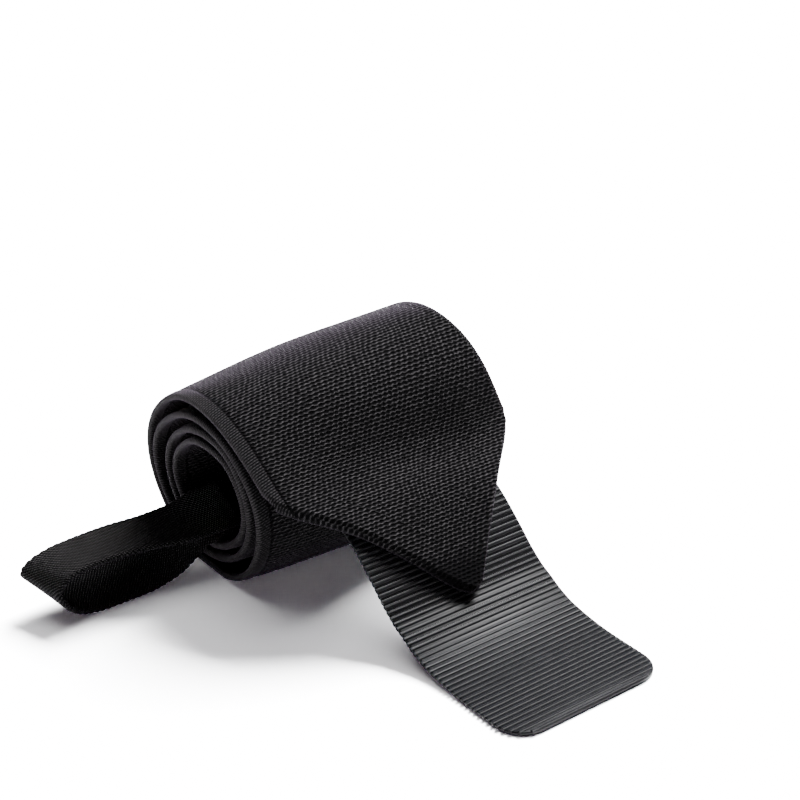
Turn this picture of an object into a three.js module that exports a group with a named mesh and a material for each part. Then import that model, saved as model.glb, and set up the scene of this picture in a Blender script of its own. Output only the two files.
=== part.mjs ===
// Wrist wrap, loosely rolled and lying on its side.
// A wide elastic band is wound round an open core. Its outer end leaves the roll, its two corners are
// folded under to a point, and a ribbed hook tab hangs from that point down to the surface.
// A narrow strap is sewn into the core as a thumb loop.
// Millimetres. X runs along the roll's axis, -Y towards the tab's end, Z up.
// The origin is the middle of the strip on which the roll rests.
import * as THREE from 'three';

// Elastic band
const BAND_WIDTH = 80;
const BAND_THICKNESS = 1.8;
const BARREL = 1.5;
const BARREL_FADE = 70;
const ROLL_RADIUS = 25;
const FLAP_REACH = 37;
const TIP_RADIUS = 6.5;
const CORNER_SOFTNESS = 1.6;
const FOLD_LAYERS = 2;

// How far beyond the rounded tip the two folded edges would meet, as a share of TIP_RADIUS.
const TIP_SHARPNESS = 0.3;

// Hook tab
const TAB_WIDTH = 50;
const TAB_REACH = 48;
const TAB_THICKNESS = 0.9;
const TAB_CORNER_RADIUS = 8;
const RIB_PITCH = 1.65;
const RIB_HEIGHT = 0.5;

// Thumb loop
const STRAP_WIDTH = 15.5;
const STRAP_THICKNESS = 1.6;
const LOOP_REACH = 56;
const LOOP_ROOT_DEPTH = 9;

const CLEARANCE = 0.3;

// The roll's turns, outermost first: the distance of the band's middle from the roll's centre, as a
// share of ROLL_RADIUS, in eight directions. The roll has slumped to an oval that is deeper at the back.
const DIRECTIONS = ['front', 'frontTop', 'top', 'backTop', 'back', 'backLow', 'low', 'frontLow'];
const TURNS = [
  {
    front: 1.290, frontTop: 0.980, top: 0.930, backTop: 1.100,
    back: 1.252, backLow: 1.040, low: 0.960, frontLow: 0.978,
  },
  {
    front: 0.936, frontTop: 0.806, top: 0.785, backTop: 0.936,
    back: 1.136, backLow: 0.962, low: 0.794, frontLow: 0.738,
  },
  {
    front: 0.760, frontTop: 0.698, top: 0.660, backTop: 0.736,
    back: 0.884, backLow: 0.770, low: 0.650, frontLow: 0.618,
  },
  {
    front: 0.664, frontTop: 0.608, top: 0.520, backTop: 0.592,
    back: 0.716, backLow: 0.594, low: 0.500, frontLow: 0.480,
  },
];

// How much further out the turns lie at the +X end, where the roll is wound looser, as a share of
// ROLL_RADIUS, and how much of that each turn takes.
const FLARE = {
  front: -0.12, frontTop: 0.18, top: 0.225, backTop: 0.235,
  back: 0.16, backLow: 0.08, low: 0, frontLow: 0,
};
const FLARE_OF_TURN = [1, 0.55, 0.4, 0.3];

// Angles of winding in degrees: 0 at the front, growing over the top and inwards.
const DIRECTION_STEP = 45;
const FULL_TURN = 360;
const LEAVE_ANGLE = 20;
const INNER_END_ANGLE = 3 * FULL_TURN + 248;
const ANGLE_STEP = 9;

// Points on the flap's curve from which its sections are read.
const FLAP_SAMPLES = 400;

// Columns of vertices between the band's two rounded long edges.
const BAND_COLUMNS = 3;

// The flap's outer face, from where it leaves the roll to its tip.
// out: share of FLAP_REACH beyond the leaving point. height: share of the leaving point's height.
const FLAP = [
  { out: 0.10, height: 0.965 },
  { out: 0.27, height: 0.917 },
  { out: 0.41, height: 0.853 },
  { out: 0.54, height: 0.765 },
  { out: 0.65, height: 0.670 },
  { out: 0.76, height: 0.566 },
  { out: 0.87, height: 0.455 },
  { out: 0.97, height: 0.372 },
  { out: 1.06, height: 0.310 },
];
// Shares of FLAP_REACH: where the folded corners start, how long the step up to their double thickness
// is, and where the flap's sections lie: closer together at the rounded tip.
const TAPER_START = 0.06;
const FOLD_STEP = 0.03;
const FLAP_SECTIONS = [
  0, TAPER_START, TAPER_START + FOLD_STEP, 0.2, 0.26, 0.32, 0.38, 0.44, 0.5, 0.56, 0.62, 0.68, 0.74, 0.8,
  0.88, 0.91, 0.94, 0.965, 0.985, 1,
];

// The tab's underside beyond the flap's tip.
// out: share of TAB_REACH. height: share of the tab's height at the tip.
const TAB = [
  { out: 0.07, height: 0.78 },
  { out: 0.16, height: 0.48 },
  { out: 0.25, height: 0.27 },
  { out: 0.34, height: 0.15 },
  { out: 0.43, height: 0.07 },
  { out: 0.52, height: 0.02 },
  { out: 0.60, height: 0 },
  { out: 0.80, height: 0 },
  { out: 1.00, height: 0 },
];
// The share of FLAP_REACH at which the tab starts, under the folded corners.
const TAB_BASE = 0.30;

// One rib of the tab. along: share of RIB_PITCH. rise: share of RIB_HEIGHT.
const RIB = [
  { along: 0, rise: 0 },
  { along: 0.22, rise: 0 },
  { along: 0.38, rise: 1 },
  { along: 0.84, rise: 1 },
];

// The share of TAB_CORNER_RADIUS by which the tab's last section is narrower on each side.
const CORNER_END = 0.92;

// The thumb loop's upper strand, bend and lower strand.
// out: share of LOOP_REACH from the strap's sewn ends. side: share of STRAP_WIDTH from the sewn ends.
// height: share of the sewn ends' height. tilt: degrees by which the front edge is lower than the back edge.
// lead: how far the front edge is behind the back edge where the strap bends round, as a share of its width.
const LOOP = [
  { out: 0.150, side: 0.10, height: 1.135, tilt: 25, lead: 0 },
  { out: 0.268, side: 0.10, height: 1.070, tilt: 14, lead: 0 },
  { out: 0.430, side: 0.01, height: 1.013, tilt: 6, lead: 0 },
  { out: 0.590, side: -0.07, height: 1.005, tilt: 3, lead: 0 },
  { out: 0.770, side: -0.09, height: 0.990, tilt: 1, lead: 0.01 },
  { out: 0.900, side: -0.09, height: 0.954, tilt: 1, lead: 0.06 },
  { out: 0.980, side: -0.09, height: 0.858, tilt: 2, lead: 0.20 },
  { out: 1.010, side: -0.09, height: 0.673, tilt: 6, lead: 0.25 },
  { out: 0.980, side: -0.08, height: 0.451, tilt: 13, lead: 0.25 },
  { out: 0.900, side: -0.08, height: 0.288, tilt: 20, lead: 0.14 },
  { out: 0.786, side: -0.07, height: 0.215, tilt: 23.5, lead: 0.03 },
  { out: 0.625, side: -0.06, height: 0.213, tilt: 23.5, lead: 0 },
  { out: 0.482, side: -0.04, height: 0.250, tilt: 23.5, lead: 0 },
  { out: 0.357, side: 0.01, height: 0.429, tilt: 24, lead: 0 },
  { out: 0.268, side: 0.04, height: 0.680, tilt: 24, lead: 0 },
  { out: 0.190, side: 0.08, height: 0.920, tilt: 25, lead: 0 },
];

// The strap's two ends, sewn one on the other: their tilt and their place round the roll, in degrees.
const SEWN_TILT = 30;
const SEWN_ANGLE = 240;
const LOOP_SECTIONS = 64;

const radians = THREE.MathUtils.degToRad;
const mix = THREE.MathUtils.lerp;

// A smooth curve through a list of points.
function smooth(points) {
  return new THREE.CatmullRomCurve3(points, false, 'centripetal');
}

// The smooth value between b and c, with a and d as their neighbours.
function catmullRom(a, b, c, d, t) {
  const slope = c - a;
  const bend = 2 * a - 5 * b + 4 * c - d;
  const twist = 3 * b - a - 3 * c + d;
  return b + (slope * t + bend * t * t + twist * t * t * t) / 2;
}

// The distance of the band's middle from the roll's centre at an angle of winding.
function turnRadius(angle, flare) {
  const count = DIRECTIONS.length;
  const step = angle / DIRECTION_STEP;
  const before = Math.floor(step);
  const at = (k) => {
    const turn = Math.min(Math.max(Math.floor(k / count), 0), TURNS.length - 1);
    const direction = DIRECTIONS[((k % count) + count) % count];
    return ROLL_RADIUS * (TURNS[turn][direction] + flare * FLARE_OF_TURN[turn] * FLARE[direction]);
  };
  const [a, b, c, d] = [at(before - 1), at(before), at(before + 1), at(before + 2)];
  return catmullRom(a, b, c, d, step - before);
}

// The height of the roll's centre puts the outer turn's face a little under the surface, where it is
// flattened: that gives the strip on which the roll rests.
const REST_SINK = 0.025 * ROLL_RADIUS;
const LOWEST_ANGLE = 270;
const CENTRE_HEIGHT = turnRadius(LOWEST_ANGLE, 0) + BAND_THICKNESS / 2 - REST_SINK;

// A point of the roll's cross-section as (out, up): out is -Y.
function onRoll(angle, radius) {
  const turn = radians(angle);
  return new THREE.Vector2(radius * Math.cos(turn), CENTRE_HEIGHT + radius * Math.sin(turn));
}

// The band's outer face in cross-section, from the inner end to the flap's tip, at one end of the roll.
// Both ends have the same number of stations, so that they can be joined across the width.
function bandStations(flare) {
  const stations = [];
  for (let angle = INNER_END_ANGLE; angle > LEAVE_ANGLE; angle -= ANGLE_STEP) {
    const point = onRoll(angle, turnRadius(angle, flare) + BAND_THICKNESS / 2);
    point.y = Math.max(point.y, 0);
    const fade = THREE.MathUtils.smoothstep(angle - LEAVE_ANGLE, 0, BARREL_FADE);
    stations.push({ point, share: -1, barrel: BARREL * fade });
  }
  const leave = onRoll(LEAVE_ANGLE, turnRadius(LEAVE_ANGLE, 0) + BAND_THICKNESS / 2);
  const last = stations.slice(-3).map(({ point }) => new THREE.Vector3(point.x, point.y, 0));
  const table = FLAP.map((row) => new THREE.Vector3(leave.x + row.out * FLAP_REACH, leave.y * row.height, 0));
  const curve = smooth([...last, new THREE.Vector3(leave.x, leave.y, 0), ...table]);
  const fine = curve.getSpacedPoints(FLAP_SAMPLES).filter((p) => p.y <= leave.y);
  for (const share of FLAP_SECTIONS) {
    const out = leave.x + share * FLAP_REACH;
    const k = Math.max(fine.findIndex((p) => p.x >= out), 1);
    const [a, b] = [fine[k - 1], fine[k]];
    const t = (out - a.x) / (b.x - a.x);
    stations.push({ point: new THREE.Vector2(out, mix(a.y, b.y, t)), share, barrel: 0 });
  }
  return stations;
}

// Half the band's width: full on the roll, then running in along the folded corners to a rounded tip.
function halfWidth(share) {
  const full = BAND_WIDTH / 2;
  if (share < 0) return full;
  const long = FLAP_REACH * (1 - TAPER_START);
  const slope = Math.atan(full / (long + TIP_SHARPNESS * TIP_RADIUS));
  const apex = TIP_RADIUS / Math.sin(slope);
  const fromApex = (1 - share) * FLAP_REACH + apex - TIP_RADIUS;
  const tangent = apex - TIP_RADIUS * Math.sin(slope);
  if (fromApex > tangent) {
    const taper = fromApex * Math.tan(slope);
    return (full + taper - Math.hypot(full - taper, CORNER_SOFTNESS)) / 2;
  }
  const fromCentre = apex - fromApex;
  return Math.max(Math.sqrt(Math.max(TIP_RADIUS ** 2 - fromCentre ** 2, 0)), BAND_THICKNESS);
}

function thicknessAt(share) {
  return share > TAPER_START ? BAND_THICKNESS * FOLD_LAYERS : BAND_THICKNESS;
}

// The unit vector that points out of a line of stations, on the side of the outer face.
function outward(stations, i) {
  const a = stations[Math.max(i - 1, 0)].point;
  const b = stations[Math.min(i + 1, stations.length - 1)].point;
  const along = b.clone().sub(a).normalize();
  return new THREE.Vector2(-along.y, along.x);
}

// Joins closed rings of equal length into one closed body with flat ends.
function loft(rings) {
  const count = rings[0].length;
  const vertices = rings.flat().flatMap((p) => [p.x, p.y, p.z]);
  const faces = [];
  for (let i = 0; i + 1 < rings.length; i += 1) {
    for (let j = 0; j < count; j += 1) {
      const [a, b] = [i * count + j, i * count + ((j + 1) % count)];
      faces.push(a, b, b + count, a, b + count, a + count);
    }
  }
  const end = (rings.length - 1) * count;
  for (let j = 1; j + 1 < count; j += 1) {
    faces.push(0, j + 1, j);
    faces.push(end, end + j, end + j + 1);
  }
  const geometry = new THREE.BufferGeometry();
  geometry.setAttribute('position', new THREE.Float32BufferAttribute(vertices, 3));
  geometry.setIndex(faces);
  geometry.computeVertexNormals();
  return geometry;
}

// A strip's section with rounded long edges and some columns between them: across is the distance from
// the strip's middle line, and depth the distance under its outer face.
function stripSection(half, thickness, columns) {
  const round = thickness / 2;
  const section = [];
  for (const [side, from] of [[1, -90], [-1, 90]]) {
    for (let k = 0; k < 5; k += 1) {
      const angle = radians(from + 45 * k);
      section.push({
        across: side * (half - round) + round * Math.cos(angle),
        depth: round + round * Math.sin(angle),
      });
    }
    for (let k = 1; k <= columns; k += 1) {
      section.push({
        across: side * (half - round) * (1 - (2 * k) / (columns + 1)),
        depth: side > 0 ? thickness : 0,
      });
    }
  }
  return section;
}

function elasticBand() {
  const near = bandStations(0);
  const far = bandStations(1);
  const rings = near.map((station, i) => {
    const thickness = thicknessAt(station.share);
    const [outNear, outFar] = [outward(near, i), outward(far, i)];
    return stripSection(halfWidth(station.share), thickness, BAND_COLUMNS).map(({ across, depth }) => {
      const t = across / BAND_WIDTH + 0.5;
      const point = station.point.clone().lerp(far[i].point, t);
      const normal = outNear.clone().lerp(outFar, t).normalize();
      const bulge = station.barrel * 4 * t * (1 - t);
      point.addScaledVector(normal, bulge - depth);
      return new THREE.Vector3(across, -point.x, Math.max(point.y, 0));
    }).reverse();
  });
  return loft(rings);
}

// The line of the tab's underside, as (out, up): first along the folded flap, then down to the surface.
function tabLine() {
  const flap = bandStations(0);
  const drop = BAND_THICKNESS * FOLD_LAYERS + CLEARANCE + RIB_HEIGHT + TAB_THICKNESS;
  const points = [];
  flap.forEach(({ point, share }, i) => {
    if (share < TAB_BASE) return;
    const normal = outward(flap, i);
    points.push(new THREE.Vector3(point.x - normal.x * drop, point.y - normal.y * drop, 0));
  });
  const tip = points[points.length - 1];
  const table = TAB.map((row) => new THREE.Vector3(tip.x + row.out * TAB_REACH, tip.y * row.height, 0));
  return smooth([...points, ...table]);
}

function hookTab() {
  const curve = tabLine();
  const length = curve.getLength();
  const ribs = Math.round(length / RIB_PITCH);
  const pitch = length / ribs;
  const rings = [];
  const section = (along, rise) => {
    const share = Math.min(along / length, 1);
    const point = curve.getPointAt(share);
    const tangent = curve.getTangentAt(share);
    const inset = TAB_CORNER_RADIUS - (length - along);
    const cut = inset > 0 ? TAB_CORNER_RADIUS - Math.sqrt(TAB_CORNER_RADIUS ** 2 - inset ** 2) : 0;
    const half = TAB_WIDTH / 2 - Math.min(cut, TAB_CORNER_RADIUS * CORNER_END);
    const height = TAB_THICKNESS + rise * RIB_HEIGHT;
    const top = { x: point.x - tangent.y * height, y: point.y + tangent.x * height };
    return [
      new THREE.Vector3(half, -point.x, Math.max(point.y, 0)),
      new THREE.Vector3(half, -top.x, top.y),
      new THREE.Vector3(-half, -top.x, top.y),
      new THREE.Vector3(-half, -point.x, Math.max(point.y, 0)),
    ];
  };
  for (let rib = 0; rib < ribs; rib += 1) {
    for (const { along, rise } of RIB) rings.push(section((rib + along) * pitch, rise));
  }
  rings.push(section(length, 0));
  return loft(rings);
}

// Where the strap is sewn to the band's inner end, as (out, up), for the strand that is that many
// strap thicknesses away from the band.
function sewnPoint(strand) {
  const inner = turnRadius(INNER_END_ANGLE, 0) - BAND_THICKNESS / 2 - CLEARANCE;
  return onRoll(SEWN_ANGLE, inner - STRAP_THICKNESS / 2 - strand * (STRAP_THICKNESS + CLEARANCE));
}

function thumbLoop() {
  const [upper, lower] = [sewnPoint(1), sewnPoint(0)];
  const start = -BAND_WIDTH / 2 + LOOP_ROOT_DEPTH;
  const floor = STRAP_THICKNESS / 2;
  const rows = LOOP.map((row) => ({
    point: new THREE.Vector3(
      start - row.out * LOOP_REACH,
      -(lower.x + row.side * STRAP_WIDTH),
      floor + row.height * (lower.y - floor),
    ),
    tilt: row.tilt,
    lead: row.lead,
  }));
  const all = [
    { point: new THREE.Vector3(start, -upper.x, upper.y), tilt: SEWN_TILT, lead: 0 },
    ...rows,
    { point: new THREE.Vector3(start, -lower.x, lower.y), tilt: SEWN_TILT, lead: 0 },
  ];
  const line = smooth(all.map((row) => row.point));
  const turns = smooth(all.map((row) => new THREE.Vector3(row.tilt, row.lead * STRAP_WIDTH, row.point.x)));
  const rings = [];
  for (let i = 0; i <= LOOP_SECTIONS; i += 1) {
    const t = i / LOOP_SECTIONS;
    const centre = line.getPoint(t);
    const along = line.getTangent(t);
    const turn = turns.getPoint(t);
    const tilt = radians(turn.x);
    const across = new THREE.Vector3(turn.y / STRAP_WIDTH, -Math.cos(tilt), -Math.sin(tilt)).normalize();
    const normal = new THREE.Vector3().crossVectors(across, along);
    const squareness = normal.length();
    normal.normalize();
    rings.push(stripSection(STRAP_WIDTH / 2, STRAP_THICKNESS, 0).map((p) => {
      const point = centre.clone().addScaledVector(across, p.across / squareness);
      point.addScaledVector(normal, STRAP_THICKNESS / 2 - p.depth);
      return point.setZ(Math.max(point.z, 0));
    }));
  }
  return loft(rings);
}

// Colours and finishes
const elasticCloth = new THREE.MeshStandardMaterial({ color: 0x1b1a1c, roughness: 0.92, metalness: 0 });
const strapCloth = new THREE.MeshStandardMaterial({ color: 0x201f21, roughness: 0.9, metalness: 0 });
const hookPlastic = new THREE.MeshStandardMaterial({ color: 0x2b2e34, roughness: 0.38, metalness: 0 });

function piece(name, geometry, material) {
  const mesh = new THREE.Mesh(geometry, material);
  mesh.name = name;
  return mesh;
}

const wristWrap = new THREE.Group();
wristWrap.add(
  piece('elastic_band', elasticBand(), elasticCloth),
  piece('hook_tab', hookTab(), hookPlastic),
  piece('thumb_loop', thumbLoop(), strapCloth),
);

export default wristWrap;
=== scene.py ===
# %% [markdown]
# A rolled wrist wrap. The real one is a wide strip of heavy black elastic, wound loosely round nothing, with
# a stiff ribbed hook tab under its pointed outer end and a narrow elastic loop for the thumb in its core.
# The CAD model gives the true sizes and places, and this lesson dresses it: cloth with a weave, a plastic
# tab with moulded ribs, and thread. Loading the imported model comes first, since every piece depends on it.

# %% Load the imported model
import math

import bpy
import numpy as np
from mathutils import Matrix, Vector


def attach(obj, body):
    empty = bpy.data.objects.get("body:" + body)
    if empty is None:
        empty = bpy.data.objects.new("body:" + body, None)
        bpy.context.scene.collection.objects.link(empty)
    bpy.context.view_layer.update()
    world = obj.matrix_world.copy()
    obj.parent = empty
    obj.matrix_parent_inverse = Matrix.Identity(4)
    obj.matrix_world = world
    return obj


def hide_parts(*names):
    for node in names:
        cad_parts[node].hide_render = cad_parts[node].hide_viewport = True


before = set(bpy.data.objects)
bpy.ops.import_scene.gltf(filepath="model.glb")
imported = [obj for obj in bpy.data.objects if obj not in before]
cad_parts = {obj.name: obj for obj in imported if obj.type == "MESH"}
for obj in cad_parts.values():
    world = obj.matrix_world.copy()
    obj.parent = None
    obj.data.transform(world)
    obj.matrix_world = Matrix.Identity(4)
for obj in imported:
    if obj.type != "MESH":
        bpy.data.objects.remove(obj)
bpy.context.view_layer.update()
print("CAD nodes:", sorted(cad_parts))

# %% [markdown]
# The sizes are the ones that the part was built with, in millimetres. They could be measured on the CAD
# solids, but the cloth pieces follow the same curves as their solids, only with far more faces, and that
# needs the numbers behind the curves. Everything is scaled to metres when a mesh is made.

# %% Sizes of the pieces
MM = 0.001

BAND_WIDTH = 80
BAND_THICKNESS = 1.8
BARREL = 1.5
BARREL_FADE = 70
ROLL_RADIUS = 25
FLAP_REACH = 37
TIP_RADIUS = 6.5
CORNER_SOFTNESS = 3.2
TIP_SHARPNESS = 0.3
FOLD_LAYERS = 2
TAPER_START = 0.06
FOLD_STEP = 0.03

TAB_WIDTH = 50
TAB_REACH = 48
TAB_THICKNESS = 0.9
TAB_CORNER_RADIUS = 8
TAB_BASE = 0.30
RIB_PITCH = 1.65
RIB_HEIGHT = 0.5

STRAP_WIDTH = 15.5
STRAP_THICKNESS = 1.6
LOOP_REACH = 56
LOOP_ROOT_DEPTH = 9

CLEARANCE = 0.3
print("band", BAND_WIDTH, "mm, tab", TAB_WIDTH, "mm and strap", STRAP_WIDTH, "mm wide")

# %% [markdown]
# A loose roll is not a perfect spiral: it slumps into an oval and rests on a flattened patch. One formula
# could draw a spiral, but it is hard to match to a real roll. So its turns are written as the distance of
# the band from the roll's centre in eight directions, one row for each turn, and a smooth curve through
# these numbers gives the radius at any angle. The flare says how much looser the far end is wound.

# %% The roll's shape
# Eight directions, 45 degrees apart: front, front top, top, back top, back, back low, low, front low.
TURNS = np.array([
    [1.290, 0.995, 0.960, 1.130, 1.260, 1.040, 0.960, 0.978],
    [0.936, 0.806, 0.785, 0.936, 1.136, 0.962, 0.794, 0.738],
    [0.760, 0.698, 0.660, 0.736, 0.884, 0.770, 0.650, 0.618],
    [0.664, 0.608, 0.520, 0.592, 0.716, 0.594, 0.500, 0.480],
])
FLARE = np.array([-0.12, 0.20, 0.255, 0.235, 0.16, 0.08, 0, 0])
FLARE_OF_TURN = np.array([1, 0.55, 0.4, 0.3])
DIRECTION_STEP = 45
INNER_END_ANGLE = 3 * 360 + 248
LEAVE_ANGLE = 20
LOWEST_ANGLE = 270
REST_SINK = 0.025 * ROLL_RADIUS


def turn_radius(angle, flare):
    """The distance of the band's middle from the roll's centre at an angle of winding, in degrees."""
    step = angle / DIRECTION_STEP
    before = math.floor(step)
    near = []
    for k in range(before - 1, before + 3):
        turn = min(max(k // 8, 0), len(TURNS) - 1)
        near.append(ROLL_RADIUS * (TURNS[turn][k % 8] + flare * FLARE_OF_TURN[turn] * FLARE[k % 8]))
    a, b, c, d = near
    t = step - before
    bend = (2 * a - 5 * b + 4 * c - d) * t * t
    twist = (3 * b - a - 3 * c + d) * t * t * t
    return b + ((c - a) * t + bend + twist) / 2


CENTRE_HEIGHT = turn_radius(LOWEST_ANGLE, 0) + BAND_THICKNESS / 2 - REST_SINK


def on_roll(angle, radius):
    """A point of the roll's cross-section as (out, up), where out is -Y."""
    turn = math.radians(angle)
    return np.array([radius * math.cos(turn), CENTRE_HEIGHT + radius * math.sin(turn)])


print("centre of the roll is", round(CENTRE_HEIGHT, 2), "mm above the floor")

# %% [markdown]
# The free end, the tab and the thumb loop hang in long bends. Bezier curves could draw them, but each
# would need handles placed by hand. A centripetal Catmull-Rom curve passes through a few measured points
# without overshooting, so a short table of points is all that it needs.

# %% A smooth curve through points
def smooth(points, steps=40):
    """A dense line of points on a centripetal Catmull-Rom curve through the given ones."""
    p = np.asarray(points, float)
    p = np.vstack([2 * p[0] - p[1], p, 2 * p[-1] - p[-2]])
    line = []
    for p0, p1, p2, p3 in zip(p, p[1:], p[2:], p[3:]):
        d0, d1, d2 = (max(np.linalg.norm(b - a) ** 0.5, 1e-4) for a, b in ((p0, p1), (p1, p2), (p2, p3)))
        m1 = ((p1 - p0) / d0 - (p2 - p0) / (d0 + d1) + (p2 - p1) / d1) * d1
        m2 = ((p2 - p1) / d1 - (p3 - p1) / (d1 + d2) + (p3 - p2) / d2) * d1
        for t in np.arange(steps) / steps:
            cubic = (2 * p1 - 2 * p2 + m1 + m2) * t**3 + (3 * p2 - 3 * p1 - 2 * m1 - m2) * t**2
            line.append(cubic + m1 * t + p1)
    line.append(p[-2])
    return np.array(line)


def lengths(line):
    """The distance along a line of points, at each of them."""
    steps = np.linalg.norm(np.diff(line, axis=0), axis=1)
    return np.concatenate([[0], np.cumsum(steps)])


def resample(line, at):
    """The points of a line at the given distances along it."""
    along = lengths(line)
    return np.column_stack([np.interp(at, along, line[:, k]) for k in range(line.shape[1])])


def unit(rows):
    """Each row as a vector of length 1."""
    return rows / np.linalg.norm(rows, axis=1)[:, None]


print("a smooth arch of three points is", round(lengths(smooth([[0, 0], [1, 1], [2, 0]]))[-1], 2), "long")

# %% [markdown]
# The band's outer face in cross-section runs round the roll from the inner end, then over the flap to its
# tip. The roll's far end is wound looser, so it could be modelled turn by turn in space. It is simpler to
# work out the cross-section once for each end of the roll: every station across the width then lies
# between the two.

# %% Stations along the band
# The flap's outer face: share of the flap's reach beyond the leaving point, share of that point's height.
FLAP = np.array([
    [0.10, 0.965], [0.27, 0.917], [0.41, 0.853], [0.54, 0.765], [0.65, 0.670],
    [0.76, 0.566], [0.87, 0.455], [0.97, 0.372], [1.06, 0.310],
])
ROLL_STEP = 3
TIP_START = 0.9
FLAP_SHARES = np.concatenate([
    np.linspace(0, TAPER_START, 4),
    np.linspace(TAPER_START + FOLD_STEP / 3, TIP_START, 36),
    TIP_START + (1 - TIP_START) * np.sin(np.linspace(0, math.pi / 2, 14)[1:]),
])


def band_stations(flare):
    """Points (out, up) on the band's outer face, the share of the flap (-1 on the roll), and the bulge."""
    points = []
    angles = np.arange(INNER_END_ANGLE, LEAVE_ANGLE, -ROLL_STEP)
    fade = np.clip((angles - LEAVE_ANGLE) / BARREL_FADE, 0, 1)
    barrel = BARREL * fade * fade * (3 - 2 * fade)
    for angle in angles:
        point = on_roll(angle, turn_radius(angle, flare) + BAND_THICKNESS / 2)
        points.append([point[0], max(point[1], 0)])
    leave = on_roll(LEAVE_ANGLE, turn_radius(LEAVE_ANGLE, 0) + BAND_THICKNESS / 2)
    table = [[leave[0] + out * FLAP_REACH, leave[1] * up] for out, up in FLAP]
    line = smooth(points[-7::3] + [leave] + table)
    line = line[line[:, 1] <= leave[1]]
    outs = leave[0] + FLAP_SHARES * FLAP_REACH
    points += list(np.column_stack([outs, np.interp(outs, line[:, 0], line[:, 1])]))
    shares_of = np.concatenate([np.full(len(angles), -1.0), FLAP_SHARES])
    return np.array(points), shares_of, np.concatenate([barrel, np.zeros(len(FLAP_SHARES))])


near_points, shares, barrels = band_stations(0)
far_points = band_stations(1)[0]
leave_index = int(np.argmax(shares >= 0))
print("stations on the roll and on the flap:", leave_index, len(shares) - leave_index)

# %% [markdown]
# Where the flap leaves the roll, the measured lines meet in a hollow that is too sharp for heavy elastic.
# A subdivision surface would soften it, and every other bend with it. Here each point near the leaving
# line is moved towards the mean of its neighbours, most at the line itself, which only rounds that hollow.

# %% Soften the line where the flap leaves the roll
SOFT_REACH = 30
SOFT_BLUR = 7


def outward(points):
    """The unit vectors that point out of the band's outer face."""
    along = unit(np.gradient(points, axis=0))
    return np.column_stack([-along[:, 1], along[:, 0]])


def relaxed(points):
    """The points with the hollow where the flap leaves the roll made softer, as heavy cloth bends."""
    along = lengths(points)
    away = np.abs(along - along[leave_index])
    result = points.copy()
    for i in np.nonzero(away < SOFT_REACH)[0]:
        weight = np.exp(-((along - along[i]) / SOFT_BLUR) ** 2) * np.gradient(along)
        mean = (points * weight[:, None]).sum(axis=0) / weight.sum()
        result[i] += np.cos(away[i] / SOFT_REACH * math.pi / 2) ** 2 * (mean - points[i])
    return result


near_points, far_points = relaxed(near_points), relaxed(far_points)
near_out, far_out = outward(near_points), outward(far_points)
band_along = lengths(near_points)
BAND_LENGTH = band_along[-1]
print("band:", len(shares), "stations,", round(BAND_LENGTH), "mm long")

# %% [markdown]
# The band keeps its full width on the roll. At its free end both corners are folded under, so the width
# runs in to a rounded point. A Boolean cut could trim it, but would leave an open, torn edge loop. A
# function that gives half the width at each station keeps the rows of faces whole and the edge rounded.

# %% Width of the band along the flap
def half_width(share):
    """Half the band's width: full on the roll, then running in along the folded corners to the tip."""
    full = BAND_WIDTH / 2
    if share < 0:
        return full
    long = FLAP_REACH * (1 - TAPER_START)
    slope = math.atan(full / (long + TIP_SHARPNESS * TIP_RADIUS))
    apex = TIP_RADIUS / math.sin(slope)
    from_apex = (1 - share) * FLAP_REACH + apex - TIP_RADIUS
    if from_apex > apex - TIP_RADIUS * math.sin(slope):
        taper = from_apex * math.tan(slope)
        return (full + taper - math.hypot(full - taper, CORNER_SOFTNESS)) / 2
    return max(math.sqrt(max(TIP_RADIUS**2 - (apex - from_apex) ** 2, 0)), BAND_THICKNESS)


print("flap's width in mm:", [round(2 * half_width(share), 1) for share in (0, 0.25, 0.5, 0.75, 1)])

# %% [markdown]
# Band, strap and tab are all flat strips with round long edges. A Solidify modifier would give a plane its
# thickness, with square edges that need a bevel. Building the closed section by hand is as short: a half
# circle at each side, and columns of points over the two faces, close together where relief will need them.

# %% Section of a strip
FIELD_COLUMNS = 22
EDGE_STEPS = 6


def strip_section(half, thickness, columns):
    """A closed section as rows of (across, depth, surface distance from the middle line)."""
    round_edge = thickness / 2
    rows = []
    for side, start in ((1, -90), (-1, 90)):
        for k in range(EDGE_STEPS + 1):
            angle = math.radians(start + 180 * k / EDGE_STEPS)
            wrapped = round_edge * math.pi / 2 * (1 - abs(1 - 2 * k / EDGE_STEPS))
            rows.append([
                side * (half - round_edge) + round_edge * math.cos(angle),
                round_edge + round_edge * math.sin(angle),
                side * (half - round_edge + wrapped),
            ])
        for share in columns:
            across = side * (half - round_edge) * share
            rows.append([across, thickness if side > 0 else 0, across])
    return np.array(rows)


edge_columns = [0.985, 0.965, 0.945, 0.93, 0.92, 0.91, 0.90, 0.888, 0.876, 0.86, 0.84]
field = np.linspace(0.80, 0, FIELD_COLUMNS // 2 + 1)
half_columns = np.concatenate([edge_columns, field])
band_columns = np.concatenate([half_columns, -half_columns[-2::-1]])
print("columns on each face of the band:", len(band_columns))

# %% [markdown]
# A loft joins the sections into one closed skin. Blender's curve bevel can do that for a tube, but not for
# a section whose width changes, so the faces are listed here: four corners between each two rings, and one
# face at either end. A UV map holds metres of flat cloth, so that a weave follows the cloth round the roll.

# %% Closed meshes from rings
def add_object(name, data):
    """A new object at the origin of the scene."""
    piece = bpy.data.objects.new(name, data)
    bpy.context.scene.collection.objects.link(piece)
    return piece


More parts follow.
